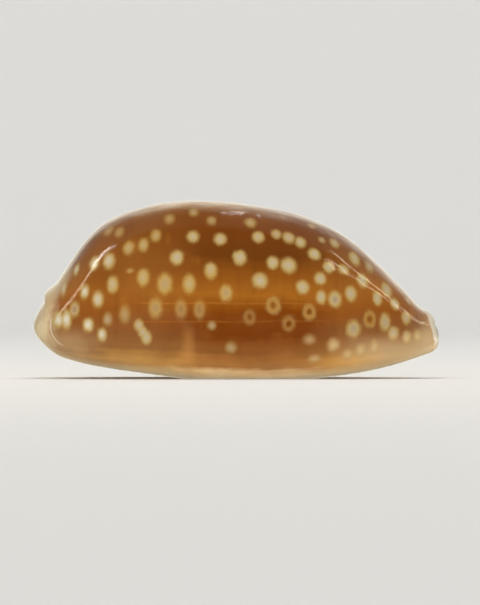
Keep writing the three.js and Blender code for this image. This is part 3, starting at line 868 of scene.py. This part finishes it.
# ---- The shell ----
def make_shell():
    """The shell's mesh with the values its paint needs. Points that fall together, as along the pinched
    ends, are merged."""
    grid = shell_surface()
    points, fields = grid[..., :3], grid[..., 3:].reshape(-1, 3)
    flat = points.reshape(-1, 3)
    points[..., 2] = np.maximum(points[..., 2], 0)
    mesh = grid_mesh("cowrie_enamel", points, wrap=True)
    names = ("around", "within", "tooth", "spot", "eye", "clear")
    for name, values in zip(names, (*fields.T, *spot_fields(flat))):
        put_attribute(mesh, name, values)
    shell = bpy.data.objects.new("cowrie_enamel", mesh)
    bpy.context.scene.collection.objects.link(shell)
    weld = shell.modifiers.new("Weld", "WELD")
    weld.merge_threshold = WELD_GAP * MM
    mesh.materials.append(enamel_paint())
    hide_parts("cowrie_shell")
    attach(shell, "root")
    return shell


# ---- Floor, light and camera, in metres ----
PAPER = (0.8, 0.79, 0.77, 1)
SURROUND = (0.71, 0.705, 0.69, 1)
WARM_LIGHT = (1, 0.84, 0.6)
SHELL_AIM = (0, 0, 0.015)
BACKDROP_AIM = (0, 3.2, 0.6)

# What the enamel mirrors: how bright it is in front, at the sides, behind and below, and how much of the
# light is missing straight behind and to the left
FRONT_GLOW, SIDE_GLOW, BACK_GLOW, FLOOR_GLOW = 0.02, 0.22, 0.95, 0.18
GLOW_GAP, LEFT_DIMMING = 0.6, 0.8
GLOW_COLOUR, LOW_GLOW_COLOUR = (1.0, 0.97, 0.84, 1), (1.0, 0.84, 0.55, 1)

FRAME_HEIGHT = 119.06 * MM
CAMERA_DISTANCE = 1.2
CAMERA_AIM = Vector((0.75, 0, 14.86)) * MM


def make_floor():
    """A pale sheet that lies flat, then curves up into a backdrop: a straight line, an arc and a line."""
    front, bend, radius, top, half_width = -3.0, 1.5, 1.6, 3.2, 4.0  # metres
    turn = np.linspace(0, np.pi / 2, 24)
    y = np.concatenate([[front], bend + radius * np.sin(turn), [bend + radius]])
    z = np.concatenate([[0], radius * (1 - np.cos(turn)), [top]])
    x = np.array([-half_width, half_width])
    points = np.stack(np.broadcast_arrays(x[:, None], y[None, :], z[None, :]), axis=-1) / MM
    mesh = grid_mesh("floor", points, wrap=False)
    paper = bpy.data.materials.new("paper")
    p = Paint(paper)
    shader = p.add("ShaderNodeBsdfPrincipled", {}, {"Base Color": PAPER, "Roughness": 0.9})
    p.add("ShaderNodeOutputMaterial", {}, {"Surface": shader})
    mesh.materials.append(paper)
    floor = bpy.data.objects.new("floor", mesh)
    bpy.context.scene.collection.objects.link(floor)
    floor.visible_glossy = False


def make_light(name, ends, width, power, colour=(1, 1, 1), seen=False, aim=SHELL_AIM):
    """A soft light between two points, in metres, facing its aim. power is in watts. One that isn't seen
    lights the shell and leaves no reflection on it."""
    start, end = (Vector(point) for point in ends)
    data = bpy.data.lights.new(name, "AREA")
    data.shape = "RECTANGLE"
    data.size, data.size_y = (end - start).length, width
    data.energy = power
    data.color = colour
    light = bpy.data.objects.new(name, data)
    along = (end - start).normalized()
    back = ((start + end) / 2 - Vector(aim)).normalized()
    across = back.cross(along).normalized()
    back = along.cross(across)
    turn = Matrix((along, across, back)).transposed().to_4x4()
    light.matrix_world = Matrix.Translation((start + end) / 2) @ turn
    light.visible_glossy = seen
    bpy.context.scene.collection.objects.link(light)


def make_world():
    """What the enamel mirrors: dim before the shell, brighter behind it, and warm and weak below it. The
    camera itself sees pale paper all round."""
    world = bpy.data.worlds.new("studio")
    p = Paint(world)
    right, away, up = p.split(p.add("ShaderNodeTexCoord", output="Generated"))
    above = p.step(up, -0.3, 0.02)
    gap = p.ridge(right, -0.03, 0.2) * GLOW_GAP
    side = p.step(away, -0.02, 0.14) * (1 - gap) * SIDE_GLOW
    behind = p.step(away, 0.52, 0.97) * (above * 0.55 + 0.45) * BACK_GLOW
    behind = behind * (1 - p.step(right, -0.1, -0.5) * LEFT_DIMMING)
    below = p.step(up, -0.35, -0.85) * FLOOR_GLOW
    strength = side + behind + below + FRONT_GLOW
    colour = p.mix(above, LOW_GLOW_COLOUR, GLOW_COLOUR)
    glow = p.add("ShaderNodeBackground", {}, {"Color": colour, "Strength": strength})
    paper = p.add("ShaderNodeBackground", {}, {"Color": SURROUND, "Strength": 1.0})
    direct = p.add("ShaderNodeLightPath", output="Is Camera Ray")
    seen = p.add("ShaderNodeMixShader", {}, {0: direct, 1: glow, 2: paper})
    p.add("ShaderNodeOutputWorld", {}, {"Surface": seen})
    bpy.context.scene.world = world


def make_lights():
    """The first four light the shell and the backdrop. The others are seen in the enamel: a strip and a
    blaze that run down the posterior slope, two thin glints on the anterior one and a patch on the crest."""
    make_light("sky", ((-1.6, 0.2, 2.4), (1.6, 0.2, 2.4)), 3.0, 58)
    make_light("front", ((-3.0, -6.0, 2.2), (3.0, -6.0, 2.2)), 4.0, 45)
    make_light("low_front", ((-1.5, -2.4, 0.13), (1.5, -2.4, 0.13)), 0.24, 62)
    make_light("backdrop", ((-1.6, 1.2, 2.6), (1.6, 1.2, 2.6)), 0.6, 18, aim=BACKDROP_AIM)
    make_light("left_strip", ((-0.72, -0.1, 0.18), (-0.34, -0.01, 0.59)), 0.042, 0.55, WARM_LIGHT, seen=True)
    make_light("left_blaze", ((-0.48, -0.04, 0.45), (-0.33, -0.01, 0.60)), 0.08, 0.24, seen=True)
    make_light("right_strip", ((0.72, 0.02, 0.3), (0.42, 0.08, 0.6)), 0.016, 0.26, WARM_LIGHT, seen=True)
    make_light("right_thread", ((0.72, 0.0, 0.29), (0.45, -0.12, 0.55)), 0.014, 0.2, WARM_LIGHT, seen=True)
    make_light("high_patch", ((0.07, 0.6, 0.8), (0.10, 0.6, 0.8)), 0.2, 0.045, seen=True)


def make_camera():
    """A long lens level with the shell, looking along +Y at its labral side."""
    data = bpy.data.cameras.new("camera")
    data.sensor_fit = "VERTICAL"
    data.sensor_height = 36
    data.lens = data.sensor_height * CAMERA_DISTANCE / FRAME_HEIGHT
    data.clip_start, data.clip_end = 0.01, 20
    camera = bpy.data.objects.new("camera", data)
    camera.location = CAMERA_AIM + Vector((0, -CAMERA_DISTANCE, 0))
    camera.rotation_euler = (math.pi / 2, 0, 0)
    bpy.context.scene.collection.objects.link(camera)
    bpy.context.scene.camera = camera


make_camera()
make_shell()
make_floor()
make_world()
make_lights()
bpy.context.scene.view_settings.view_transform = "Standard"
